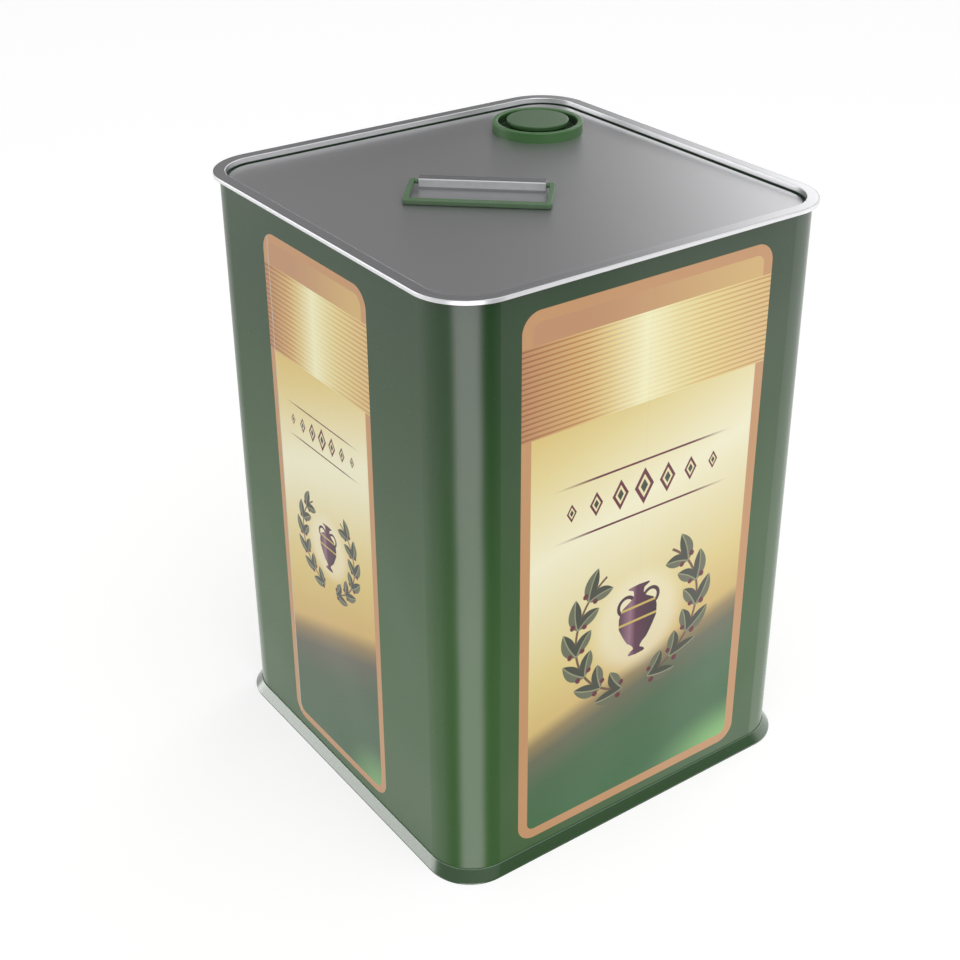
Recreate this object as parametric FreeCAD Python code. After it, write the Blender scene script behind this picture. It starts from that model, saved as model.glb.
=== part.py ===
"""Square olive oil tin: a seamed tinplate body, a folding carry handle and a pull-out pouring spout.

Millimetres, +Z up. The origin is the middle of the face that the tin stands on. The main printed
face looks to -Y, and the spout stands in the back right corner of the lid.
"""
import FreeCAD
import Part
import math
import os

from FreeCAD import Vector

# Body
BODY_WIDTH = 242.0
BODY_CORNER_RADIUS = 27.0
TIN_HEIGHT = 347.0
TINPLATE = 0.35
SIDE_LAP_WIDTH = 5.0
SIDE_LAP_FROM_EDGE = 40.5

# Folded seam round the lid
RIM_OVERHANG = 3.5
RIM_WIDTH = 6.8
RIM_WALL = 2.4
RIM_EDGE_RADIUS = 0.4
LID_DEPTH = 3.4
GROOVE_WIDTH = 1.8
GROOVE_DEPTH = 1.0
GROOVE_RADIUS = 0.4
PANEL_EDGE_RADIUS = 0.9

# Flared seam round the foot
FOOT_OVERHANG = 3.4
FOOT_CORNER_RADIUS = 27.0
FOOT_HEIGHT = 7.5
FOOT_LIP = 1.3
FOOT_RING_WIDTH = 6.7
FOOT_EDGE = 0.4
FOOT_TOP_GAP = 0.05
BASE_RECESS = 4.5

# Hooks and rubber hidden inside both seams
HOOK_CLEARANCE = 0.3
BODY_HOOK_REACH = 2.2
HOOK_RADIUS = 0.6
COMPOUND_DEPTH = 2.2
COMPOUND_GAP = 0.05
COMPOUND_CHAMFER = 0.6

# Carry handle, a flat loop hinged along its back bar
HANDLE_TURN = -41.8
HANDLE_ALONG = -14.1
HANDLE_ACROSS = -5.2
HANDLE_LENGTH = 78.6
HANDLE_REACH = 29.2
HANDLE_BAR = 3.0
HANDLE_THICKNESS = 3.0
HANDLE_CORNER_RADIUS = 2.6
HANDLE_EDGE_RADIUS = 0.8
HANDLE_REST_GAP = 0.3
PIVOT_RADIUS = 1.4

# Bracket, a strap bent over the handle's back bar
BRACKET_SHEET = 0.7
BRACKET_HEIGHT = 5.7
BRACKET_BEND = 1.0
BRACKET_BACK_ROOM = 2.2
BRACKET_FLANGE = 7.0
BRACKET_FLANGE_CORNER = 2.0
BRACKET_END_CLEARANCE = 2.3
PIVOT_CLEARANCE = 0.3

# Neck drawn up from the lid, and the collar that snaps over it
SPOUT_FROM_RIGHT = 44.6
SPOUT_FROM_BACK = 46.3
COLLAR_RADIUS = 26.85
COLLAR_HEIGHT = 6.0
COLLAR_WALL = 1.2
COLLAR_INNER_WALL = 1.0
COLLAR_EDGE_RADIUS = 0.7
WELL_RADIUS = 23.5
WELL_DEPTH = 5.8
WELL_FLOOR = 1.2
GUIDE_LENGTH = 9.4
GUIDE_WALL = 1.6
NECK_CLEARANCE = 0.2
NECK_HEM = 1.3
NECK_HEM_GAP = 0.1
NECK_BEND = 0.9
NECK_FLAT = 5.0
GASKET_THICKNESS = 0.8
GASKET_GAP = 0.05
SNAP_HEIGHT = 0.9
SNAP_CLEARANCE = 0.15

# Pull-out nozzle
NOZZLE_RADIUS = 14.0
NOZZLE_WALL = 1.7
NOZZLE_LENGTH = 28.9
NOZZLE_STOP = 1.5
NOZZLE_STOP_REACH = 1.6
SLIDE_CLEARANCE = 0.1
SHOULDER_RISE = 0.3
NECK_CORE_RADIUS = 12.8
NECK_CORE_WALL = 1.4
NECK_CORE_HEIGHT = 4.4

# Screw cap, its seal and the tamper band below it
THREAD_PITCH = 2.4
THREAD_START = 1.2
THREAD_TURNS = 0.95
THREAD_ROOT_WIDTH = 1.1
THREAD_CREST_WIDTH = 0.6
THREAD_HEIGHT = 0.8
CAP_THREAD_HEIGHT = 1.2
CAP_THREAD_LEAD = 150.0
THREAD_SINK = 0.2
CAP_THREAD_GAP = 0.3
CAP_RADIUS = 18.3
CAP_TOP_THICKNESS = 1.3
CAP_FLANGE_HEIGHT = 2.4
CAP_SKIRT_WALL = 1.9
CAP_EDGE_RADIUS = 0.6
CAP_RIBS = 48
CAP_RIB_RADIUS = 0.35
LINER_THICKNESS = 0.8
LINER_CLEARANCE = 0.4
BAND_THICKNESS = 0.6
BAND_CLEARANCE = 0.2
BRIDGE_HEIGHT = 0.2
BRIDGE_WIDTH = 0.8
BRIDGES = 12

# Places that several pieces share
BODY_HALF = BODY_WIDTH / 2
CORNER_AXIS = BODY_HALF - BODY_CORNER_RADIUS
WALL_INSIDE = BODY_HALF - TINPLATE
RIM_OUTSIDE = BODY_HALF + RIM_OVERHANG
RIM_INSIDE = RIM_OUTSIDE - RIM_WIDTH
LID_Z = TIN_HEIGHT - LID_DEPTH
FOOT_OUTSIDE = BODY_HALF + FOOT_OVERHANG
FOOT_INSIDE = FOOT_OUTSIDE - FOOT_RING_WIDTH
BODY_FOOT_Z = TINPLATE + HOOK_CLEARANCE
BODY_TOP_Z = TIN_HEIGHT - TINPLATE - HOOK_CLEARANCE
PIVOT_ROOM = PIVOT_RADIUS + PIVOT_CLEARANCE
HANDLE_AXIS_RISE = BRACKET_HEIGHT - BRACKET_SHEET - PIVOT_ROOM
HANDLE_DROP = HANDLE_AXIS_RISE - HANDLE_REST_GAP - HANDLE_THICKNESS / 2
HANDLE_TILT = math.degrees(math.asin(HANDLE_DROP / (HANDLE_REACH - HANDLE_BAR / 2)))
HANDLE_GAP = HANDLE_LENGTH - 2 * HANDLE_BAR
BRACKET_LENGTH = HANDLE_GAP - 2 * BRACKET_END_CLEARANCE
SPOUT_X = RIM_INSIDE - SPOUT_FROM_RIGHT
SPOUT_Y = RIM_INSIDE - SPOUT_FROM_BACK
INNER_WALL_RADIUS = WELL_RADIUS + COLLAR_INNER_WALL
NECK_RADIUS = INNER_WALL_RADIUS + NECK_CLEARANCE
HEM_RADIUS = NECK_RADIUS + 2 * TINPLATE + NECK_HEM_GAP
SKIRT_RADIUS = COLLAR_RADIUS - COLLAR_WALL
CHANNEL_TOP = COLLAR_HEIGHT - COLLAR_WALL
NECK_TOP = CHANNEL_TOP - GASKET_THICKNESS
WELL_FLOOR_Z = COLLAR_HEIGHT - WELL_DEPTH
GUIDE_RADIUS = NOZZLE_RADIUS + SLIDE_CLEARANCE
SHOULDER_Z = WELL_FLOOR_Z + SHOULDER_RISE
LIP_Z = SHOULDER_Z + NECK_CORE_HEIGHT
SKIRT_FOOT_Z = SHOULDER_Z + BAND_THICKNESS + BRIDGE_HEIGHT
CAP_INSIDE = NECK_CORE_RADIUS + CAP_THREAD_GAP + CAP_THREAD_HEIGHT
CAP_SKIRT_RADIUS = CAP_INSIDE + CAP_SKIRT_WALL
CAP_ROOF_Z = LIP_Z + LINER_THICKNESS
CAP_TOP_Z = CAP_ROOF_Z + CAP_TOP_THICKNESS


def heading(first, second):
    """Unit direction in the section plane from one (across, height) point to the next."""
    across, height = second[0] - first[0], second[1] - first[1]
    length = math.hypot(across, height)
    return across / length, height / length


def section(corners):
    """Face on the XZ plane from (across, height, radius) corners, each radius a tangent arc."""
    edges = []
    ends = []
    for index, (across, height, radius) in enumerate(corners):
        back = heading((across, height), corners[index - 1])
        ahead = heading((across, height), corners[(index + 1) % len(corners)])
        corner = Vector(across, 0, height)
        if radius <= 0:
            ends.append((corner, corner))
            continue
        opening = math.acos(back[0] * ahead[0] + back[1] * ahead[1])
        reach = radius / math.tan(opening / 2)
        middle = Vector(back[0] + ahead[0], 0, back[1] + ahead[1]).normalize()
        start = corner + Vector(back[0], 0, back[1]) * reach
        finish = corner + Vector(ahead[0], 0, ahead[1]) * reach
        crown = corner + middle * (radius / math.sin(opening / 2) - radius)
        edges.append((start, crown, finish))
        ends.append((start, finish))
    arcs = [Part.Arc(*points).toShape() for points in edges]
    lines = []
    for index, (start, finish) in enumerate(ends):
        following = ends[(index + 1) % len(ends)][0]
        if finish.distanceToPoint(following) > Part.Precision.confusion():
            lines.append(Part.LineSegment(finish, following).toShape())
    return Part.Face(Part.Wire(Part.__sortEdges__(arcs + lines)))


def sheet(path, thickness):
    """Section of a bent sheet that lies to the right of a path of (across, height, bend) points."""
    far_side = []
    for index, (across, height, bend) in enumerate(path):
        before = heading(path[index - 1], path[index]) if index else None
        after = heading(path[index], path[index + 1]) if index + 1 < len(path) else None
        before, after = before or after, after or before
        share = thickness / (1 + before[0] * after[0] + before[1] * after[1])
        turn = before[0] * after[1] - before[1] * after[0]
        inner = bend + math.copysign(thickness, turn) if bend else 0
        far_side.append((across + share * (before[1] + after[1]),
                         height - share * (before[0] + after[0]), max(inner, 0)))
    return section(list(path) + far_side[::-1])


def around(face):
    """Carry a section, drawn at the right wall, all round the body's rounded square."""
    first = face.copy()
    first.translate(Vector(0, -CORNER_AXIS, 0))
    side = first.extrude(Vector(0, 2 * CORNER_AXIS, 0))
    last = face.copy()
    last.translate(Vector(0, CORNER_AXIS, 0))
    bend = last.revolve(Vector(CORNER_AXIS, CORNER_AXIS, 0), Vector(0, 0, 1), 90)
    pieces = []
    for quarter in range(4):
        for piece in (side, bend):
            turned_piece = piece.copy()
            turned_piece.rotate(Vector(0, 0, 0), Vector(0, 0, 1), 90 * quarter)
            pieces.append(turned_piece)
    return pieces[0].fuse(pieces[1:]).removeSplitter()


def square_wire(half, radius, height):
    """Rounded square outline at a height."""
    axis = half - radius
    lean = radius * math.sqrt(0.5)
    edges = []
    for quarter in range(4):
        side = Part.LineSegment(Vector(half, -axis, height), Vector(half, axis, height)).toShape()
        bend = Part.Arc(Vector(half, axis, height), Vector(axis + lean, axis + lean, height),
                        Vector(axis, half, height)).toShape()
        for edge in (side, bend):
            edge.rotate(Vector(0, 0, 0), Vector(0, 0, 1), 90 * quarter)
            edges.append(edge)
    return Part.Wire(edges)


def square_prism(half, bottom, top):
    """Rounded square block with corners on the body's corner axes."""
    face = Part.Face(square_wire(half, half - CORNER_AXIS, bottom))
    return face.extrude(Vector(0, 0, top - bottom))


def spun(face):
    """Turn a section round the spout's axis and stand it on the lid."""
    solid = face.revolve(Vector(0, 0, 0), Vector(0, 0, 1), 360)
    solid.translate(Vector(SPOUT_X, SPOUT_Y, LID_Z))
    return solid


def on_handle_line(shape):
    """Turn a shape drawn along X to the handle's line and stand it on the lid."""
    shape.translate(Vector(HANDLE_ALONG, HANDLE_ACROSS, LID_Z))
    shape.rotate(Vector(0, 0, 0), Vector(0, 0, 1), HANDLE_TURN)
    return shape


def body_shell():
    """Four walls in one wrap of tinplate, flanged out into both seams, with a lapped side seam."""
    hook_end = TIN_HEIGHT - RIM_WALL + TINPLATE + HOOK_CLEARANCE
    flange = BODY_HALF + BODY_HOOK_REACH
    wall = around(sheet([
        (flange, BODY_FOOT_Z, 0),
        (WALL_INSIDE, BODY_FOOT_Z, HOOK_RADIUS),
        (WALL_INSIDE, BODY_TOP_Z, HOOK_RADIUS),
        (flange, BODY_TOP_Z, HOOK_RADIUS),
        (flange, hook_end, 0)], TINPLATE))
    lap_bottom = BASE_RECESS + COMPOUND_DEPTH
    lap_top = LID_Z - GROOVE_DEPTH - COMPOUND_DEPTH
    lap = Part.makeBox(TINPLATE, SIDE_LAP_WIDTH, lap_top - lap_bottom,
                       Vector(WALL_INSIDE - TINPLATE, BODY_HALF - SIDE_LAP_FROM_EDGE, lap_bottom))
    return wall.fuse(lap).removeSplitter()


def top_end():
    """Lid pressed from one sheet: grooved panel, drawn neck and the seam rolled over the body."""
    panel_edge = RIM_INSIDE - GROOVE_WIDTH
    hook_side = BODY_HALF + HOOK_CLEARANCE
    hook_end = BODY_TOP_Z - TINPLATE - HOOK_CLEARANCE
    flat_edge = panel_edge - GROOVE_WIDTH
    seam = around(sheet([
        (flat_edge, LID_Z, 0),
        (panel_edge, LID_Z, PANEL_EDGE_RADIUS),
        (panel_edge + GROOVE_DEPTH / 2, LID_Z - GROOVE_DEPTH, GROOVE_RADIUS),
        (RIM_INSIDE, LID_Z - GROOVE_DEPTH, GROOVE_RADIUS),
        (RIM_INSIDE, TIN_HEIGHT, RIM_EDGE_RADIUS),
        (RIM_OUTSIDE, TIN_HEIGHT, RIM_EDGE_RADIUS),
        (RIM_OUTSIDE, TIN_HEIGHT - RIM_WALL, RIM_EDGE_RADIUS),
        (hook_side, TIN_HEIGHT - RIM_WALL, HOOK_RADIUS),
        (hook_side, hook_end, 0)], TINPLATE))
    neck_foot = NECK_RADIUS + NECK_FLAT
    neck = spun(sheet([
        (neck_foot, -TINPLATE, 0),
        (NECK_RADIUS, -TINPLATE, NECK_BEND),
        (NECK_RADIUS, NECK_TOP, TINPLATE + NECK_HEM_GAP / 2),
        (HEM_RADIUS, NECK_TOP, TINPLATE + NECK_HEM_GAP / 2),
        (HEM_RADIUS, NECK_TOP - NECK_HEM, 0)], TINPLATE))
    panel = square_prism(flat_edge, LID_Z - TINPLATE, LID_Z)
    mouth = Part.makeCylinder(neck_foot, 2 * TINPLATE, Vector(SPOUT_X, SPOUT_Y, LID_Z - 1.5 * TINPLATE))
    return panel.cut(mouth).fuse([seam, neck]).removeSplitter()


def foot_flare(inset):
    """Lower and upper level of the flare as (half width, corner radius, height), moved in by a sheet."""
    top_reach = FOOT_TOP_GAP + TINPLATE
    foot = (FOOT_OUTSIDE - inset, FOOT_CORNER_RADIUS - inset, FOOT_LIP - inset)
    top = (BODY_HALF + top_reach - inset, BODY_CORNER_RADIUS + top_reach - inset, FOOT_HEIGHT - inset)
    return [foot, top]


def bottom_end():
    """Base pressed from one sheet: recessed panel, flat foot ring and a seam flared round the body."""
    outer_edge = (FOOT_OUTSIDE, FOOT_CORNER_RADIUS, FOOT_EDGE)
    outer_foot = (FOOT_OUTSIDE - FOOT_EDGE, FOOT_CORNER_RADIUS - FOOT_EDGE, 0)
    outer = [outer_foot, outer_edge] + foot_flare(0)
    inner_foot = (FOOT_OUTSIDE - TINPLATE, FOOT_CORNER_RADIUS - TINPLATE, TINPLATE)
    inner = [inner_foot] + foot_flare(TINPLATE)
    inner.append((inner[-1][0], inner[-1][1], FOOT_HEIGHT + TINPLATE))
    block = Part.makeLoft([square_wire(*level) for level in outer], True, True)
    hollow = Part.makeLoft([square_wire(*level) for level in inner], True, True)
    plug = square_prism(FOOT_INSIDE + TINPLATE, 0, BASE_RECESS + TINPLATE)
    recess = square_prism(FOOT_INSIDE, -TINPLATE, BASE_RECESS)
    return block.cut(hollow.cut(plug)).cut(recess).removeSplitter()


def top_seam_compound():
    """Rubber lining poured into the lid's curl, between its inner wall and the body."""
    inside = RIM_INSIDE + TINPLATE + COMPOUND_GAP
    outside = WALL_INSIDE - COMPOUND_GAP
    top = TIN_HEIGHT - TINPLATE - COMPOUND_GAP
    return around(section([
        (inside, top - COMPOUND_DEPTH, 0),
        (outside, top - COMPOUND_DEPTH, 0),
        (outside, top, 0),
        (inside + COMPOUND_CHAMFER, top, 0),
        (inside, top - COMPOUND_CHAMFER, 0)]))


def bottom_seam_compound():
    """Rubber lining poured into the base's channel, between its inner wall and the body."""
    inside = FOOT_INSIDE + TINPLATE + COMPOUND_GAP
    outside = WALL_INSIDE - COMPOUND_GAP
    bottom = TINPLATE + COMPOUND_GAP
    return around(section([
        (inside, bottom, 0),
        (outside, bottom, 0),
        (outside, bottom + COMPOUND_DEPTH, 0),
        (inside, bottom + COMPOUND_DEPTH, 0)]))


def handle_bracket():
    """Strap bent over the handle's back bar and welded to the lid by its rear flange."""
    front = -PIVOT_ROOM - BRACKET_SHEET
    back = PIVOT_ROOM + BRACKET_BACK_ROOM + BRACKET_SHEET
    strap_section = sheet([
        (front, 0, 0),
        (front, BRACKET_HEIGHT, BRACKET_BEND),
        (back, BRACKET_HEIGHT, BRACKET_BEND),
        (back, BRACKET_SHEET, BRACKET_BEND - BRACKET_SHEET),
        (back + BRACKET_FLANGE, BRACKET_SHEET, 0)], BRACKET_SHEET)
    strap_section.rotate(Vector(0, 0, 0), Vector(0, 0, 1), 90)
    strap_section.translate(Vector(BRACKET_LENGTH / 2, 0, 0))
    strap = strap_section.extrude(Vector(-BRACKET_LENGTH, 0, 0))
    tips = [edge for edge in strap.Edges
            if edge.BoundBox.YMin > back + BRACKET_FLANGE - Part.Precision.confusion()
            and edge.BoundBox.ZLength > BRACKET_SHEET / 2]
    return on_handle_line(strap.makeFillet(BRACKET_FLANGE_CORNER, tips))


def carry_handle():
    """Moulded loop that leans on the lid, its back bar round where it turns in the bracket."""
    half = HANDLE_LENGTH / 2
    back = HANDLE_THICKNESS / 2
    depth = HANDLE_REACH + back
    loop = Part.makeBox(HANDLE_LENGTH, depth, HANDLE_THICKNESS, Vector(-half, -HANDLE_REACH, -back))
    uprights = [edge for edge in loop.Edges if edge.BoundBox.ZLength > back]
    loop = loop.makeFillet(HANDLE_CORNER_RADIUS, uprights)
    outline = [edge for edge in loop.Edges if edge.BoundBox.ZLength < back]
    loop = loop.makeFillet(HANDLE_EDGE_RADIUS, outline)
    finger_gap = Part.makeBox(HANDLE_GAP, depth, HANDLE_THICKNESS,
                              Vector(-HANDLE_GAP / 2, HANDLE_BAR - HANDLE_REACH, -back))
    pivot = Part.makeCylinder(PIVOT_RADIUS, HANDLE_LENGTH - HANDLE_BAR,
                              Vector(HANDLE_BAR / 2 - half, 0, 0), Vector(1, 0, 0))
    handle = loop.cut(finger_gap).fuse(pivot).removeSplitter()
    handle.rotate(Vector(0, 0, 0), Vector(1, 0, 0), HANDLE_TILT)
    handle.translate(Vector(0, 0, HANDLE_AXIS_RISE))
    return on_handle_line(handle)


def neck_gasket():
    """Rubber ring squeezed between the neck's hem and the collar."""
    return spun(section([
        (INNER_WALL_RADIUS + GASKET_GAP, NECK_TOP, 0),
        (SKIRT_RADIUS - GASKET_GAP, NECK_TOP, 0),
        (SKIRT_RADIUS - GASKET_GAP, CHANNEL_TOP, 0),
        (INNER_WALL_RADIUS + GASKET_GAP, CHANNEL_TOP, 0)]))


def spout_collar():
    """Moulded collar that snaps over the neck, with a finger well and a guide for the nozzle."""
    snap_top = NECK_TOP - NECK_HEM - SNAP_CLEARANCE
    snap_radius = NECK_RADIUS + TINPLATE + SNAP_CLEARANCE
    guide_outside = GUIDE_RADIUS + GUIDE_WALL
    floor_under = WELL_FLOOR_Z - WELL_FLOOR
    return spun(section([
        (GUIDE_RADIUS, WELL_FLOOR_Z - GUIDE_LENGTH, 0),
        (guide_outside, WELL_FLOOR_Z - GUIDE_LENGTH, 0),
        (guide_outside, floor_under, 0),
        (INNER_WALL_RADIUS, floor_under, 0),
        (INNER_WALL_RADIUS, CHANNEL_TOP, 0),
        (SKIRT_RADIUS, CHANNEL_TOP, 0),
        (SKIRT_RADIUS, snap_top, 0),
        (snap_radius, snap_top, 0),
        (SKIRT_RADIUS, snap_top - SNAP_HEIGHT, 0),
        (SKIRT_RADIUS, 0, 0),
        (COLLAR_RADIUS, 0, 0),
        (COLLAR_RADIUS, COLLAR_HEIGHT, COLLAR_EDGE_RADIUS),
        (WELL_RADIUS, COLLAR_HEIGHT, COLLAR_EDGE_RADIUS),
        (WELL_RADIUS, WELL_FLOOR_Z, COLLAR_EDGE_RADIUS),
        (GUIDE_RADIUS, WELL_FLOOR_Z, 0)]))


def thread_ridge(root, crest, turn, rise):
    """One helical ridge between two radii, begun at an angle from +X and a rise on the shoulder."""
    path = Part.Wire(Part.makeHelix(THREAD_PITCH, THREAD_PITCH * THREAD_TURNS, root))
    profile = Part.makePolygon([
        Vector(root, 0, -THREAD_ROOT_WIDTH / 2),
        Vector(crest, 0, -THREAD_CREST_WIDTH / 2),
        Vector(crest, 0, THREAD_CREST_WIDTH / 2),
        Vector(root, 0, THREAD_ROOT_WIDTH / 2),
        Vector(root, 0, -THREAD_ROOT_WIDTH / 2)])
    ridge = path.makePipeShell([profile], True, True)
    ridge.rotate(Vector(0, 0, 0), Vector(0, 0, 1), turn)
    ridge.translate(Vector(SPOUT_X, SPOUT_Y, LID_Z + SHOULDER_Z + rise))
    return ridge


def spout_nozzle():
    """Pouring tube that slides in the collar, threaded at the top and stopped by its foot flange."""
    foot = SHOULDER_Z - NOZZLE_LENGTH
    bore = NOZZLE_RADIUS - NOZZLE_WALL
    mouth = NECK_CORE_RADIUS - NECK_CORE_WALL
    tube = spun(section([
        (bore, foot, 0),
        (NOZZLE_RADIUS + NOZZLE_STOP_REACH, foot, 0),
        (NOZZLE_RADIUS + NOZZLE_STOP_REACH, foot + NOZZLE_STOP, 0),
        (NOZZLE_RADIUS, foot + NOZZLE_STOP, 0),
        (NOZZLE_RADIUS, SHOULDER_Z, 0),
        (NECK_CORE_RADIUS, SHOULDER_Z, 0),
        (NECK_CORE_RADIUS, LIP_Z, 0),
        (mouth, LIP_Z, 0),
        (mouth, SHOULDER_Z - NOZZLE_WALL, 0),
        (bore, SHOULDER_Z - 2 * NOZZLE_WALL, 0)]))
    ridge = thread_ridge(NECK_CORE_RADIUS - THREAD_SINK, NECK_CORE_RADIUS + THREAD_HEIGHT, 0, THREAD_START)
    return tube.fuse(ridge).removeSplitter()


def tamper_band():
    """Thin band left on the nozzle's shoulder, with the bridges that break when the cap turns."""
    band = spun(section([
        (NECK_CORE_RADIUS + BAND_CLEARANCE, SHOULDER_Z, 0),
        (CAP_SKIRT_RADIUS, SHOULDER_Z, 0),
        (CAP_SKIRT_RADIUS, SHOULDER_Z + BAND_THICKNESS, 0),
        (NECK_CORE_RADIUS + BAND_CLEARANCE, SHOULDER_Z + BAND_THICKNESS, 0)]))
    depth = CAP_SKIRT_WALL / 2
    bridges = []
    for index in range(BRIDGES):
        bridge = Part.makeBox(depth, BRIDGE_WIDTH, BRIDGE_HEIGHT,
                              Vector(CAP_SKIRT_RADIUS - 1.5 * depth, -BRIDGE_WIDTH / 2,
                                     SHOULDER_Z + BAND_THICKNESS))
        bridge.rotate(Vector(0, 0, 0), Vector(0, 0, 1), 360 * index / BRIDGES)
        bridge.translate(Vector(SPOUT_X, SPOUT_Y, LID_Z))
        bridges.append(bridge)
    return band.fuse(bridges).removeSplitter()


def spout_cap():
    """Screw cap with an overhanging top to grip, a ribbed skirt and a thread inside."""
    shell = spun(section([
        (0, CAP_ROOF_Z, 0),
        (CAP_INSIDE, CAP_ROOF_Z, 0),
        (CAP_INSIDE, SKIRT_FOOT_Z, 0),
        (CAP_SKIRT_RADIUS, SKIRT_FOOT_Z, 0),
        (CAP_SKIRT_RADIUS, CAP_TOP_Z - CAP_FLANGE_HEIGHT, 0),
        (CAP_RADIUS, CAP_TOP_Z - CAP_FLANGE_HEIGHT, CAP_EDGE_RADIUS / 2),
        (CAP_RADIUS, CAP_TOP_Z, CAP_EDGE_RADIUS),
        (0, CAP_TOP_Z, 0)]))
    half_pitch_on = THREAD_START + THREAD_PITCH * (180 - CAP_THREAD_LEAD) / 360
    ridge = thread_ridge(CAP_INSIDE + THREAD_SINK, CAP_INSIDE - CAP_THREAD_HEIGHT,
                         -CAP_THREAD_LEAD, half_pitch_on)
    skirt_height = CAP_TOP_Z - CAP_FLANGE_HEIGHT - SKIRT_FOOT_Z
    ribs = []
    for index in range(CAP_RIBS):
        rib = Part.makeCylinder(CAP_RIB_RADIUS, skirt_height,
                                Vector(CAP_SKIRT_RADIUS, 0, SKIRT_FOOT_Z))
        rib.rotate(Vector(0, 0, 0), Vector(0, 0, 1), 360 * index / CAP_RIBS)
        rib.translate(Vector(SPOUT_X, SPOUT_Y, LID_Z))
        ribs.append(rib)
    return shell.fuse([ridge] + ribs).removeSplitter()


def cap_liner():
    """Foam disc in the cap that presses on the nozzle's lip."""
    liner = Part.makeCylinder(CAP_INSIDE - LINER_CLEARANCE, LINER_THICKNESS)
    liner.translate(Vector(SPOUT_X, SPOUT_Y, LID_Z + LIP_Z))
    return liner


PIECES = (body_shell, top_end, bottom_end, top_seam_compound, bottom_seam_compound, handle_bracket,
          carry_handle, neck_gasket, spout_collar, spout_nozzle, tamper_band, spout_cap, cap_liner)

os.makedirs("parts", exist_ok=True)
for piece in PIECES:
    shape = piece()
    shape.exportStep("parts/" + piece.__name__ + ".step")
    print(piece.__name__, len(shape.Solids), shape.isValid(), round(shape.Volume / 1000, 3), "cm3")
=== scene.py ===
import math

import bmesh
import bpy
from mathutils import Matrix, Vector

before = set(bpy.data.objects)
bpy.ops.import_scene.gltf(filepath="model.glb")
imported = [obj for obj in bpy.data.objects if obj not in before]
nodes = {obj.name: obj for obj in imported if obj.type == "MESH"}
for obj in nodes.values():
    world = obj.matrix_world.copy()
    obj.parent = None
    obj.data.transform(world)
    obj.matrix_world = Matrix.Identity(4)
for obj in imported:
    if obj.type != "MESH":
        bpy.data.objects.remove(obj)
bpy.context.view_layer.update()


# The wall of the tin: one wrap of thin tinplate, bent round four corners and welded down its side seam.
# It is printed flat before bending: green lacquer, and on each wall a panel with a copper border, a band of
# fine gold stripes and a gold field. The green is painted darker towards the top, as painted shade.
# Inside it has a clear gold lacquer.
class Shade:
    """A socket of a node tree; arithmetic on it adds the Math nodes that work it out."""

    def __init__(self, tree, socket=None):
        self.tree = tree
        self.socket = socket

    def node(self, kind, inputs, output=0, stops=None, curve="LINEAR", **settings):
        """Add a node of that kind: its settings first, then a value or a link for each socket."""
        made = self.tree.nodes.new("ShaderNode" + kind)
        for name, value in settings.items():
            setattr(made, name, value)
        if stops:
            made.color_ramp.interpolation = curve
            elements = made.color_ramp.elements
            ends = [elements[0], *(elements.new(place) for place, _ in stops[1:-1]), elements[-1]]
            for element, (place, colour) in zip(ends, stops):
                element.position = place
                element.color = colour
        for key, value in inputs.items():
            if isinstance(value, Shade):
                self.tree.links.new(value.socket, made.inputs[key])
            else:
                made.inputs[key].default_value = value
        return Shade(self.tree, made.outputs[output])

    def math(self, operation, *others):
        return self.node("Math", dict(enumerate((self, *others))), operation=operation)

    def __add__(self, other):
        return self.math("ADD", other)

    def __radd__(self, other):
        return self.math("ADD", other)

    def __sub__(self, other):
        return self.math("SUBTRACT", other)

    def __rsub__(self, other):
        return self.math("MULTIPLY_ADD", -1.0, other)

    def __mul__(self, other):
        return self.math("MULTIPLY", other)

    def __rmul__(self, other):
        return self.math("MULTIPLY", other)

    def __truediv__(self, other):
        return self.math("DIVIDE", other)

    def __rtruediv__(self, other):
        return self.math("POWER", -1.0) * other

    def __abs__(self):
        return self.math("ABSOLUTE")

    def step(self, start, end):
        """Rise smoothly from 0 at start to 1 at end, which may lie on either side of it."""
        return self.node("MapRange", {"Value": self, "From Min": start, "From Max": end},
                         interpolation_type="SMOOTHSTEP")

    def within(self, limit, soft=0.12):
        """1 where the value is below limit, 0 above it, with a soft edge."""
        return (self - limit).step(soft, -soft)

    def mix(self, low, high, blend="MIX"):
        """The colour low where this is 0 and high where it is 1, or low multiplied by high there."""
        return self.node("Mix", {0: self, 6: low, 7: high}, output=2, data_type="RGBA", blend_type=blend)

    def ramp(self, stops, curve="LINEAR"):
        """The colour at this value, 0 to 1, along a ramp of colours."""
        return self.node("ValToRGB", {0: self}, stops=stops, curve=curve)

    def noise(self, scale, detail):
        """Noise at this place."""
        return self.node("TexNoise", {"Vector": self, "Scale": scale, "Detail": detail})

    def parts(self):
        """The x, y and z of this vector."""
        return [Shade(self.tree, out) for out in self.node("SeparateXYZ", {0: self}).socket.node.outputs]


def ink(red, green, blue):
    """A colour given as 0 to 255 on a screen, as the linear colour that a shader takes."""
    linear = [c / 12.92 if c <= 0.04045 else ((c + 0.055) / 1.055) ** 2.4
              for c in (red / 255, green / 255, blue / 255)]
    return (*linear, 1.0)


def finish(name):
    """A new material: its Principled shader and the place on the piece, in millimetres."""
    material = bpy.data.materials.new(name)
    material.use_nodes = True
    tree = material.node_tree
    place = Shade(tree).node("TexCoord", {}, output="Object")
    place = place.node("VectorMath", {0: place, "Scale": 1000.0}, operation="SCALE")
    return material, tree.nodes["Principled BSDF"], place


def set_sockets(shader, sockets):
    """Give a shader's sockets their values or links."""
    tree = shader.id_data
    for name, value in sockets.items():
        if isinstance(value, Shade):
            tree.links.new(value.socket, shader.inputs[name])
        else:
            shader.inputs[name].default_value = value


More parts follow.
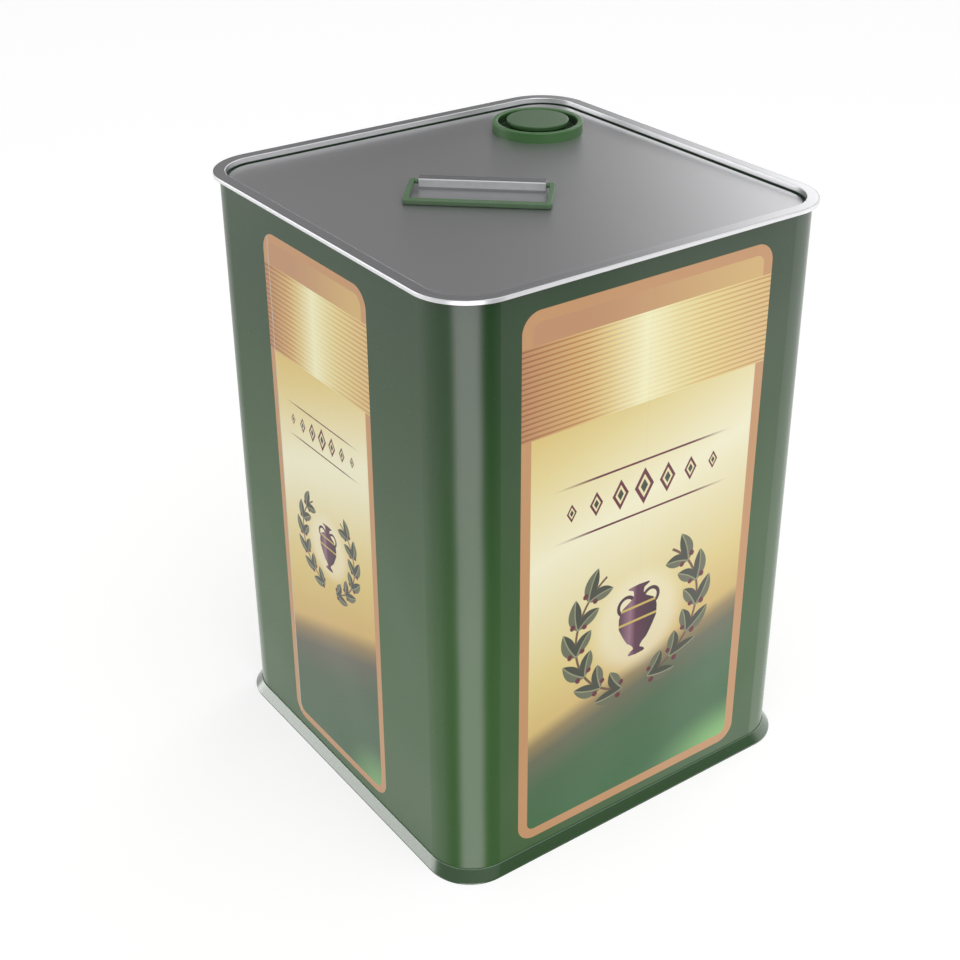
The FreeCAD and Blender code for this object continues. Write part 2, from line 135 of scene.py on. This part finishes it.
def bump(height, strength, distance):
    """The normal of a surface that is raised by height."""
    return height.node("Bump", {"Height": height, "Strength": strength, "Distance": distance})


def length(a, b):
    """The length of the vector a, b."""
    return (a * a + b * b).math("SQRT")


def rounded_square(x, y, half, radius):
    """Distance from the edge of a square with rounded corners, below 0 inside it."""
    over_x = abs(x) - (half - radius)
    over_y = abs(y) - (half - radius)
    return length(over_x.math("MAXIMUM", 0.0), over_y.math("MAXIMUM", 0.0)) - radius


# Where the panels lie on the walls, in millimetres. The change from gold to green tips across a panel by
# lean and is raised by dusk. The inks are deeper by deep, and keyline shows a pale line at the left border.
BODY_HALF = 121.0
BODY_CORNER = 27.0
FRONT = {"centre": -1.7, "half": 80.2, "foot": 14.0, "head": 333.2, "border": 6.1, "stripes": 265.4,
         "wreath": 132.0, "row": 216.0, "dusk": 0.0, "lean": 22.0, "deep": 0.0, "keyline": 0.0}
SIDE = {"centre": -3.75, "half": 51.1, "foot": 13.8, "head": 329.8, "border": 4.7, "stripes": 262.0,
        "wreath": 158.0, "row": 226.0, "dusk": 0.5, "lean": 17.5, "deep": 1.0, "keyline": 0.6}
PANEL_CORNER = 11.0
STRIPES_HIGH = 49.8
STRIPE_PITCH = 2.767
STRIPE_HALF = 0.24
GREEN_LOW = ink(58, 96, 47)
GREEN_TOP_SHADE = ink(33, 66, 31)
GREEN_LOW_Z = 100.0
GREEN_HIGH_Z = 360.0
GREEN_GLOW = ink(138, 196, 118)
GLOW_WIDE = 40.0
GLOW_EDGE = 36.0
GLOW_CORE = 2.0
GLOW_LOST = 0.25
COPPER = ink(197, 149, 102)
COPPER_HEAD = ink(192, 144, 103)
COPPER_HEAD_SHARE = -0.6
GOLD_HEAD = ink(212, 178, 114)
GOLD_HEAD_SHARE = 1.1
GOLD_LACQUER = ink(190, 160, 95)
HALF_SHEET = 0.12
PALE_LINE = ink(196, 206, 198)
PALE_LINE_HALF = 0.5
FIELD_HIGH = 300.0
FIELD_INKS = [
    (0.1, ink(58, 108, 62)), (0.22, ink(70, 106, 68)), (0.29, ink(104, 108, 82)),
    (0.325, ink(150, 132, 90)), (0.355, ink(214, 186, 118)), (0.46, ink(224, 206, 138)),
    (0.7, ink(242, 238, 204)), (0.86, ink(229, 214, 152)), (0.95, ink(219, 194, 120))]
CREAM_MIDDLE = 205.0
CREAM_HALF = 5.0
CREAM_END = 60.0
GOLD_DEEPER = (0.97, 0.9, 0.74, 1.0)
GOLD_FOOT = 100.0
GREEN_DEEPER = (0.84, 0.77, 0.8, 1.0)
GREEN_HEAD = 85.0
SHEEN_INKS = [
    (0.0, ink(188, 138, 94)), (0.2, ink(212, 174, 112)), (0.34, ink(229, 209, 140)),
    (0.48, ink(244, 240, 196)), (0.62, ink(234, 222, 160)), (0.8, ink(228, 206, 140)),
    (1.0, ink(220, 190, 126))]
STRIPE_INKS = [
    (0.0, ink(158, 102, 66)), (0.25, ink(196, 142, 84)), (0.48, ink(242, 234, 184)),
    (0.72, ink(218, 186, 114)), (1.0, ink(196, 146, 92))]


def print_panel(across, up, panel):
    """A printed panel without the design in its field: its colour, where it lies, and the share of its
    half width that a place is from its middle."""
    share = (across - panel["centre"]) / panel["half"]
    over_side = abs(across - panel["centre"]) - panel["half"] + PANEL_CORNER
    middle = (panel["foot"] + panel["head"]) * 0.5
    over_end = abs(up - middle) - (panel["head"] - middle) + PANEL_CORNER
    rim = (length(over_side.math("MAXIMUM", 0.0), over_end.math("MAXIMUM", 0.0))
           + over_side.math("MAXIMUM", over_end).math("MINIMUM", 0.0) - PANEL_CORNER)
    inner = (rim + panel["border"]).within(0.0)

    slant = up - panel["lean"] * share - panel["dusk"]
    field = (slant / FIELD_HIGH).ramp(FIELD_INKS)
    deeper = slant.step(GOLD_FOOT, GREEN_HEAD).mix(GOLD_DEEPER, GREEN_DEEPER)
    deepened = panel["deep"] * abs(slant - CREAM_MIDDLE).step(CREAM_HALF, CREAM_END)
    field = deepened.mix(field, deeper, blend="MULTIPLY")
    glow = length((share - 1.0) * GLOW_WIDE, up - panel["foot"]).step(GLOW_EDGE, GLOW_CORE)
    field = (glow * (1.0 - panel["deep"] * GLOW_LOST)).mix(field, GREEN_GLOW)

    height = up - panel["stripes"]
    along = share * 0.5 + 0.5
    stripe = (height / STRIPE_PITCH).math("FRACT")
    striped = abs(stripe - 0.5).step(STRIPE_HALF, STRIPE_HALF / 2)
    striped = striped.mix(along.ramp(SHEEN_INKS), along.ramp(STRIPE_INKS))
    banded = abs(height - STRIPES_HIGH / 2).within(STRIPES_HIGH / 2)

    head = share.step(COPPER_HEAD_SHARE, GOLD_HEAD_SHARE).mix(COPPER_HEAD, GOLD_HEAD)
    above = height.step(STRIPES_HIGH - 0.1, STRIPES_HIGH + 0.1)
    colour = inner.mix(COPPER, above.mix(field, head))
    colour = banded.mix(colour, striped)
    from_line = across - panel["centre"] + panel["half"] - panel["border"]
    pale = abs(from_line).step(PALE_LINE_HALF, PALE_LINE_HALF / 2) * panel["keyline"]
    colour = pale.mix(colour, PALE_LINE)
    return colour, rim.within(0.0), share


MAROON = ink(104, 44, 52)
WREATH_GROUND = ink(244, 240, 212)
GROUND_STRENGTH = 0.55
LEAF_DARK = ink(64, 72, 54)
LEAF_LIGHT = ink(104, 110, 84)
LEAF_VEIN = ink(150, 150, 116)
VEIN_HALF = 0.55
STEM = ink(112, 84, 62)
STEM_HALF = 0.95
RING = 43.0
LEAF_LONG = 19.0
LEAF_WIDE = 4.4
LEAF_PITCH = 17.0
FIRST_LEAF = 9.0
LEAF_PAIRS = 6
LEAF_TURN = math.radians(31)
BERRY_RUN = 2.2
BERRY_OUT = 4.2
BERRY_RADIUS = 1.9
JAR_HIGH = 46.0
JAR_WIDE = 13.5
JAR_PROFILE = [
    (0.0, 0.0), (0.01, 0.4), (0.06, 0.36), (0.1, 0.18), (0.2, 0.5), (0.42, 0.92), (0.6, 1.0),
    (0.74, 0.78), (0.82, 0.34), (0.93, 0.3), (0.96, 0.5), (0.99, 0.5), (1.0, 0.0)]
JAR_INKS = [
    (0.0, ink(84, 54, 66)), (0.3, ink(150, 112, 128)), (0.45, ink(92, 52, 70)), (1.0, ink(52, 34, 42))]
JAR_BAND = ink(206, 180, 92)
JAR_BAND_HALF = 0.02
JAR_BAND_OFF = 0.1
JAR_BELLY = 0.6
GRIP = ink(74, 46, 58)
GRIP_OUT = 8.6
GRIP_UP = 12.0
GRIP_RADIUS = 5.4
GRIP_HALF = 1.3


def add_wreath(colour, across, up):
    """A wreath of leaves round an oil jar, in millimetres from the middle of the wreath."""
    out = length(across, up)
    side = abs(out - RING)
    ground = out.step(RING - 6.0, RING - 22.0)
    colour = (ground * GROUND_STRENGTH).mix(colour, WREATH_GROUND)

    around = abs(across).math("ARCTAN2", -1.0 * up) * RING - FIRST_LEAF
    run = around.math("MODULO", LEAF_PITCH)
    half_long = LEAF_PAIRS * LEAF_PITCH / 2
    grown = abs(around - half_long).within(half_long, 0.01)
    along = (run * math.cos(LEAF_TURN) + side * math.sin(LEAF_TURN)) / LEAF_LONG
    off_vein = side * math.cos(LEAF_TURN) - run * math.sin(LEAF_TURN)
    leaf = (along * (1.0 - along) * (4.0 * LEAF_WIDE) - abs(off_vein)).step(-0.1, 0.25) * grown
    blade = off_vein.step(-0.5, 0.5).mix(LEAF_DARK, LEAF_LIGHT)
    blade = abs(off_vein).step(VEIN_HALF, VEIN_HALF - 0.35).mix(blade, LEAF_VEIN)
    stem = side.step(STEM_HALF, STEM_HALF - 0.35) * grown
    colour = stem.mix(colour, STEM)
    colour = leaf.mix(colour, blade)
    berry = length(run - BERRY_RUN, side - BERRY_OUT).step(BERRY_RADIUS, BERRY_RADIUS - 0.4)
    colour = (berry * grown).mix(colour, MAROON)

    rise = up / JAR_HIGH + 0.5
    profile = rise.ramp([(share, (half, half, half, 1.0)) for share, half in JAR_PROFILE], "CARDINAL")
    off_middle = abs(across)
    jar = (profile * JAR_WIDE - off_middle).step(-0.1, 0.2)
    off_grip = abs(length(off_middle - GRIP_OUT, up - GRIP_UP) - GRIP_RADIUS)
    grip = off_grip.step(GRIP_HALF, GRIP_HALF - 0.4)
    jar_ink = (across / JAR_WIDE * 0.5 + 0.5).ramp(JAR_INKS)
    bands = abs(abs(rise - JAR_BELLY) - JAR_BAND_OFF).step(JAR_BAND_HALF, JAR_BAND_HALF - 0.008)
    jar_ink = bands.mix(jar_ink, JAR_BAND)
    colour = grip.mix(colour, GRIP)
    return jar.mix(colour, jar_ink)


LOZENGE_CREAM = ink(236, 226, 176)
LOZENGE_WIDE = 6.6
LOZENGE_HIGH = 11.0
LOZENGE_SHRINK = 0.17
LOZENGE_RINGS = [(1.02, 0.97, MAROON), (0.66, 0.62, LOZENGE_CREAM), (0.4, 0.36, LEAF_DARK)]
ROW_PITCH = 16.0
ROW_LAST = 3.0
RULE_UP = 15.5
RULE_HALF = 0.75
RULE_FADE = 30.0
RULE_END = 62.0


def add_lozenge_row(colour, across, up):
    """A row of lozenges that grow smaller outwards, between two fine rules."""
    index = (abs(across) / ROW_PITCH).math("ROUND").math("MINIMUM", ROW_LAST)
    size = 1.0 - index * LOZENGE_SHRINK
    run = abs(abs(across) - index * ROW_PITCH)
    lozenge = (run / LOZENGE_WIDE + abs(up) / LOZENGE_HIGH) / size
    for edge, full, tint in LOZENGE_RINGS:
        colour = lozenge.step(edge, full).mix(colour, tint)
    rule = abs(abs(up) - RULE_UP).step(RULE_HALF, RULE_HALF - 0.25)
    drawn = abs(across).step(RULE_END, RULE_FADE)
    return (rule * drawn).mix(colour, MAROON)


lacquer, shader, place = finish("printed_lacquer")
x, y, z = place.parts()
on_side = (abs(x) - abs(y)).step(-0.01, 0.01)
across = x * (0.0 - y.math("SIGN"))
across = across + on_side * (y * x.math("SIGN") - across)
panel = {name: FRONT[name] + on_side * (SIDE[name] - FRONT[name]) for name in FRONT}
colour, printed, share = print_panel(across, z, panel)
scale = FRONT["half"] / panel["half"]
colour = add_wreath(colour, share * FRONT["half"], (z - panel["wreath"]) * scale)
colour = add_lozenge_row(colour, share * FRONT["half"], (z - panel["row"]) * scale)
# The green outside the panels is painted darker towards the top, as painted shade.
colour = printed.mix(z.step(GREEN_LOW_Z, GREEN_HIGH_Z).mix(GREEN_LOW, GREEN_TOP_SHADE), colour)
depth = rounded_square(x, y, BODY_HALF, BODY_CORNER)
colour = depth.step(-HALF_SHEET, -HALF_SHEET - 0.1).mix(colour, GOLD_LACQUER)
WAVE_HEIGHT = 8.0
PEEL_HEIGHT = 0.01
waviness = place.noise(0.011, 1.0)
peel = place.noise(0.9, 2.0)
set_sockets(shader, {
    "Base Color": colour,
    "Roughness": 0.2 + peel * 0.1,
    "Normal": bump(waviness * WAVE_HEIGHT + peel * PEEL_HEIGHT, 0.25, 0.001),
    "IOR": 1.5,
    "Specular Tint": (1.0, 0.88, 1.0, 1.0),
})
nodes["body_shell"].data.materials[0] = lacquer


# The base: a pressed tinplate end with a flared foot and a recessed bottom, rolled onto the wall.
# The outside has the same green lacquer as the wall, worn bright where the foot rubs the shelf.
BASE_GREEN = ink(42, 75, 38)
BASE_EDGE_HIGHLIGHT = ink(110, 130, 112)
BASE_LIP_Z = 7.4
RUBBED_TIN = ink(168, 172, 166)
RUBBED_Z = 1.0
base_lacquer, shader, place = finish("green_lacquer")
z = place.parts()[2]
grain = place.noise(0.6, 4.0)
rubbed = (z + grain * 0.7).step(RUBBED_Z, RUBBED_Z - 0.7)
# Painted highlight: the foot's top edge against the wall is paler, so the crease there does not read dark.
edge_highlight = z.step(BASE_LIP_Z - 0.3, BASE_LIP_Z)
set_sockets(shader, {
    "Base Color": rubbed.mix(edge_highlight.mix(BASE_GREEN, BASE_EDGE_HIGHLIGHT), RUBBED_TIN),
    "Roughness": 0.18 + grain * 0.14,
    "Coat Weight": 0.6,
    "Coat Roughness": 0.15,
    "Metallic": rubbed * 0.8,
    "Normal": bump(grain, 0.05, 0.001),
})
nodes["bottom_end"].data.materials[0] = base_lacquer


# The lid: a pressed end of rolled tinplate with a wide folded rim and a drawn neck for the spout.
# Fine rolling marks run across the sheet. Painted highlights make the rim's inner and outer walls bright, a
# painted dark reflection lines the rim's outer bend, and painted dark green shade lines the groove at its
# foot.
LID_Z = 343.6
RIM_INNER_HALF = 117.7
RIM_INNER_CORNER = 23.7
RIM_WIDTH = 6.8
RIM_TOP = ink(198, 198, 200)
RIM_CLOUD = ink(191, 191, 194)
RIM_INNER_HIGHLIGHT = ink(246, 246, 247)
RIM_OUTER_HIGHLIGHT = ink(224, 224, 226)
RIM_BEND_REFLECTION = ink(132, 132, 134)
LID_SHEET = ink(178, 178, 180)
GROOVE_SHADE = ink(22, 48, 26)
bright_tin, shader, place = finish("bare_tinplate")
x, y, z = place.parts()
marks = place.node("Mapping", {"Vector": place, "Scale": (0.02, 1.6, 0.2)}).noise(1.0, 5.0)
clouds = place.noise(0.03, 3.0)
from_rim = rounded_square(x, y, RIM_INNER_HALF, RIM_INNER_CORNER)
# Painted highlight: the rim's inner wall is a brighter tin than its top.
inner_highlight = from_rim.step(0.5, 0.2)
sheet = from_rim.step(-0.6, -1.2)
# Painted highlight: the rim's outer wall is pale and partly matt, so it reads bright.
outer_highlight = from_rim.step(RIM_WIDTH - 0.6, RIM_WIDTH - 0.3)
# Painted reflection: a dark line along the rim's outer bend.
bend_reflection = from_rim.step(RIM_WIDTH - 0.85, RIM_WIDTH - 0.65) * from_rim.step(RIM_WIDTH - 0.3, RIM_WIDTH - 0.45)
# Painted shade: a dark green line in the groove at the foot of the rim.
groove_shade = from_rim.step(-1.1, -0.9) * from_rim.step(1.0, 0.5) * z.step(LID_Z + 0.65, LID_Z + 0.45)
colour = inner_highlight.mix(clouds.mix(RIM_TOP, RIM_CLOUD), RIM_INNER_HIGHLIGHT)
colour = outer_highlight.mix(sheet.mix(colour, LID_SHEET), RIM_OUTER_HIGHLIGHT)
set_sockets(shader, {
    "Base Color": groove_shade.mix(bend_reflection.mix(colour, RIM_BEND_REFLECTION), GROOVE_SHADE),
    "Metallic": 1.0 - groove_shade - outer_highlight * 0.55 - sheet * 0.2,
    "Roughness": 0.27 + clouds * 0.03 + marks * 0.03,
    "Normal": bump(marks, 0.0015, 0.001),
})
nodes["top_end"].data.materials[0] = bright_tin


# The sealing compound: rubber run into the two end seams, and the gasket under the spout's collar.
# It is poured, so it has a matt, slightly uneven skin.
rubber, shader, place = finish("seam_rubber")
skin = place.noise(1.5, 4.0)
set_sockets(shader, {
    "Base Color": skin.mix(ink(44, 52, 44), ink(70, 78, 70)),
    "Roughness": 0.6 + skin * 0.25,
    "Normal": bump(skin, 0.2, 0.001),
})
for name in ("top_seam_compound", "bottom_seam_compound", "neck_gasket"):
    nodes[name].data.materials[0] = rubber


# The bracket: a strip of galvanised steel, bent over the handle's back bar and spot welded to the lid.
# Its zinc is duller than the lid's tin, with a painted highlight along the front bend, a painted dark
# reflection on top and painted shade at its foot.
BRACKET_HEIGHT = 5.7
ZINC_LIGHT = ink(213, 214, 216)
ZINC_DARK = ink(204, 205, 208)
ZINC_FOOT_SHADE = ink(146, 147, 150)
FOOT_HEIGHT = 1.2
ZINC_BEND_HIGHLIGHT = ink(216, 216, 218)
ZINC_TOP_REFLECTION = ink(112, 113, 116)
zinc, shader, place = finish("bracket_zinc")
height = place.parts()[2] - LID_Z
crystals = place.node("TexVoronoi", {"Vector": place, "Scale": 0.25})
grain = place.noise(2.0, 3.0)
colour = crystals.mix(ZINC_DARK, ZINC_LIGHT)
# Painted shade at the foot, where the bracket meets the lid.
colour = height.step(FOOT_HEIGHT, FOOT_HEIGHT - 0.3).mix(colour, ZINC_FOOT_SHADE)
# Painted highlight along the front bend.
colour = height.step(BRACKET_HEIGHT - 0.9, BRACKET_HEIGHT - 0.7).mix(colour, ZINC_BEND_HIGHLIGHT)
# Painted dark reflection on the top face.
colour = height.step(BRACKET_HEIGHT - 0.35, BRACKET_HEIGHT - 0.2).mix(colour, ZINC_TOP_REFLECTION)
set_sockets(shader, {
    "Base Color": colour,
    "Metallic": 0.4,
    "Roughness": 0.4 + crystals * 0.08,
    "Normal": bump(grain, 0.05, 0.0004),
})
nodes["handle_bracket"].data.materials[0] = zinc


# The handle: a rectangular loop moulded in green plastic, with a satin spark-eroded surface.
# Its back bar lies loose under the bracket, so that the loop swings up.
def moulded(name, light, dark, roughness):
    """A moulded plastic: its material, shader, place and colour."""
    material, shader, place = finish(name)
    grain = place.noise(3.0, 3.0)
    colour = place.noise(0.08, 2.0).mix(dark, light)
    set_sockets(shader, {
        "Base Color": colour,
        "Roughness": roughness + grain * 0.16,
        "Normal": bump(grain, 0.08, 0.0004),
    })
    return material, shader, place, colour


HANDLE_ROUGHNESS = 0.36
handle_green = moulded("handle_plastic", ink(92, 120, 89), ink(80, 108, 77), HANDLE_ROUGHNESS)[0]
nodes["carry_handle"].data.materials[0] = handle_green


# The spout: a collar that snaps over the neck, and in it a nozzle that pulls up, with a tamper band and a
# screw cap. All are moulded in green plastic, glossier than the handle, and the cap's is a little darker.
# The finger well round the cap is painted dark, as painted shade.
SPOUT_AT = (73.1, 71.4)
SPOUT_ROUGHNESS = 0.26
SPOUT_LIGHT = ink(72, 116, 66)
SPOUT_DARK = ink(60, 104, 54)
WELL_RADIUS = 23.5
WELL_PAINTED_SHADE = ink(30, 50, 28)
COLLAR_HEIGHT = 6.0
spout_green = moulded("spout_plastic", SPOUT_LIGHT, SPOUT_DARK, SPOUT_ROUGHNESS)[0]
for name in ("spout_nozzle", "tamper_band"):
    nodes[name].data.materials[0] = spout_green
cap_green = moulded("cap_plastic", ink(64, 100, 60), ink(54, 90, 50), SPOUT_ROUGHNESS)[0]
nodes["spout_cap"].data.materials[0] = cap_green
collar_green, shader, place, colour = moulded("collar_plastic", SPOUT_LIGHT, SPOUT_DARK, SPOUT_ROUGHNESS)
x, y, z = place.parts()
out = length(x - SPOUT_AT[0], y - SPOUT_AT[1])
well = out.step(WELL_RADIUS + 0.5, WELL_RADIUS - 0.2)
sunk = (z - LID_Z).step(COLLAR_HEIGHT, COLLAR_HEIGHT - 2.5)
# Painted shade: the finger well round the cap is darkened below the top of the collar.
set_sockets(shader, {"Base Color": (well * sunk).mix(colour, WELL_PAINTED_SHADE)})
nodes["spout_collar"].data.materials[0] = collar_green


# The cap's liner: a disc of white foam, punched from sheet and pressed into the cap.
# It seals the lip of the nozzle.
foam, shader, place = finish("liner_foam")
cells = place.node("TexVoronoi", {"Vector": place, "Scale": 2.0})
set_sockets(shader, {
    "Base Color": cells.mix(ink(236, 236, 230), ink(216, 216, 208)),
    "Roughness": 0.75 + cells * 0.2,
    "Normal": bump(cells, 0.3, 0.0004),
})
nodes["cap_liner"].data.materials[0] = foam


# The studio: a white floor, one soft box high behind the camera and a smaller one at the back left, and a
# surround of lighter and darker screens.
# The floor is left out of reflections, so that the lacquer mirrors the surround alone.
FLOOR_SIZE = 12.0
floor_mesh = bpy.data.meshes.new("floor")
maker = bmesh.new()
bmesh.ops.create_grid(maker, x_segments=1, y_segments=1, size=FLOOR_SIZE / 2)
maker.to_mesh(floor_mesh)
maker.free()
floor = bpy.data.objects.new("floor", floor_mesh)
bpy.context.scene.collection.objects.link(floor)
paper, shader, place = finish("floor_paper")
tooth = place.noise(0.4, 2.0)
set_sockets(shader, {
    "Base Color": tooth.mix((0.44, 0.44, 0.44, 1.0), (0.47, 0.47, 0.47, 1.0)),
    "Roughness": 0.9,
    "Specular IOR Level": 0.0,
    "Emission Color": (1.0, 1.0, 1.0, 1.0),
    "Emission Strength": 0.66,
})
floor_mesh.materials.append(paper)
floor.visible_glossy = False

SURROUND_STRENGTH = 8.0
GROUND = 0.8
BACKDROP = 0.94
world = bpy.data.worlds.new("studio")
bpy.context.scene.world = world
world.use_nodes = True
surround = world.node_tree.nodes["Background"]
ray = Shade(world.node_tree).node("TexCoord", {}, output="Generated")
x, y, z = ray.parts()
turn = y.math("ARCTAN2", x) / (2 * math.pi) + 0.5


def grey(brightness):
    """That brightness as a share of the surround's strength."""
    return (*[brightness / SURROUND_STRENGTH] * 3, 1.0)


def screens(*stops, slope=0.0):
    """Screens by compass turn, in degrees from the left wall's outward side, and their brightness;
    slope leans them with height."""
    shares = [(degrees / 360, grey(value)) for degrees, value in stops]
    return (turn + z * (slope / 360)).ramp(shares, "EASE")


under = screens(
    (0, 0.35), (10, 0.15), (22, 0.15), (36, 3.4), (76, 3.4), (92, 0.12), (106, 0.12), (126, 0.18),
    (142, 2.0), (170, 1.1), (230, 1.3), (284, 1.2), (296, 0.85), (346, 0.85), (360, 0.35))
ring = screens(
    (0, 0.9), (22, 0.9), (36, 4.8), (76, 4.8), (92, 0.12), (112, 0.12), (124, 0.65), (140, 1.9), (180, 1.2),
    (286, 0.9), (293, 0.5), (299, 0.6), (305, 1.0), (360, 0.9))
low = screens(
    (0, 0.1), (130, 0.1), (142, 2.0), (200, 1.2), (220, 1.2), (228, 3.0), (238, 3.0), (250, 1.2), (286, 1.2),
    (297, 5.4), (330, 5.4), (338, 2.2), (350, 2.2), (357, 0.1), (360, 0.1))
high = screens(
    (0, 0.5), (130, 0.8), (160, 0.8), (214, 0.5), (221, 0.5), (227, 2.8), (235, 2.8), (239, 0.16),
    (253, 0.16), (258, 0.42), (266, 0.2), (296, 0.3), (320, 0.6), (360, 0.5), slope=40.0)
belts = [(under, -0.88, -0.76), (ring, -0.62, -0.42), (low, -0.27, -0.21), (high, 0.02, 0.12)]
brightness = grey(GROUND)
for belt, start, end in belts:
    brightness = z.step(start, end).mix(brightness, belt)
seen = ray.node("LightPath", {}, output="Is Camera Ray")
set_sockets(surround, {"Color": seen.mix(brightness, grey(BACKDROP)), "Strength": SURROUND_STRENGTH})

LIGHT_TARGET = Vector((0.0, 0.0, 0.17))


def softbox(name, azimuth, elevation, distance, size, power):
    """A square soft box that faces the middle of the tin."""
    light = bpy.data.lights.new(name, "AREA")
    light.shape = "SQUARE"
    light.size = size
    light.energy = power
    lamp = bpy.data.objects.new(name, light)
    bpy.context.scene.collection.objects.link(lamp)
    a = math.radians(azimuth)
    e = math.radians(elevation)
    offset = Vector((math.cos(a) * math.cos(e), math.sin(a) * math.cos(e), math.sin(e))) * distance
    lamp.location = LIGHT_TARGET + offset
    lamp.rotation_euler = offset.to_track_quat("Z", "Y").to_euler()
    return lamp


softbox("key", azimuth=254, elevation=62, distance=2.2, size=1.6, power=14.5)
back_left = softbox("back_left", azimuth=134, elevation=25, distance=2.2, size=1.2, power=6.5)
back_left.visible_diffuse = False

CAMERA_AT = Vector((-0.48042, -0.65037, 0.62638))
CAMERA_TURN = math.radians(-35.976)
CAMERA_TILT = math.radians(28.368)
lens = bpy.data.cameras.new("camera")
lens.sensor_width = 36.0
lens.lens = 59.226
lens.shift_x = -0.01783
lens.shift_y = -0.04224
camera = bpy.data.objects.new("camera", lens)
bpy.context.scene.collection.objects.link(camera)
backwards = Vector((math.sin(CAMERA_TURN) * math.cos(CAMERA_TILT),
                    -math.cos(CAMERA_TURN) * math.cos(CAMERA_TILT),
                    math.sin(CAMERA_TILT)))
camera.location = CAMERA_AT
camera.rotation_euler = (-backwards).to_track_quat("-Z", "Y").to_euler()
bpy.context.scene.camera = camera
bpy.context.scene.view_settings.view_transform = "Standard"
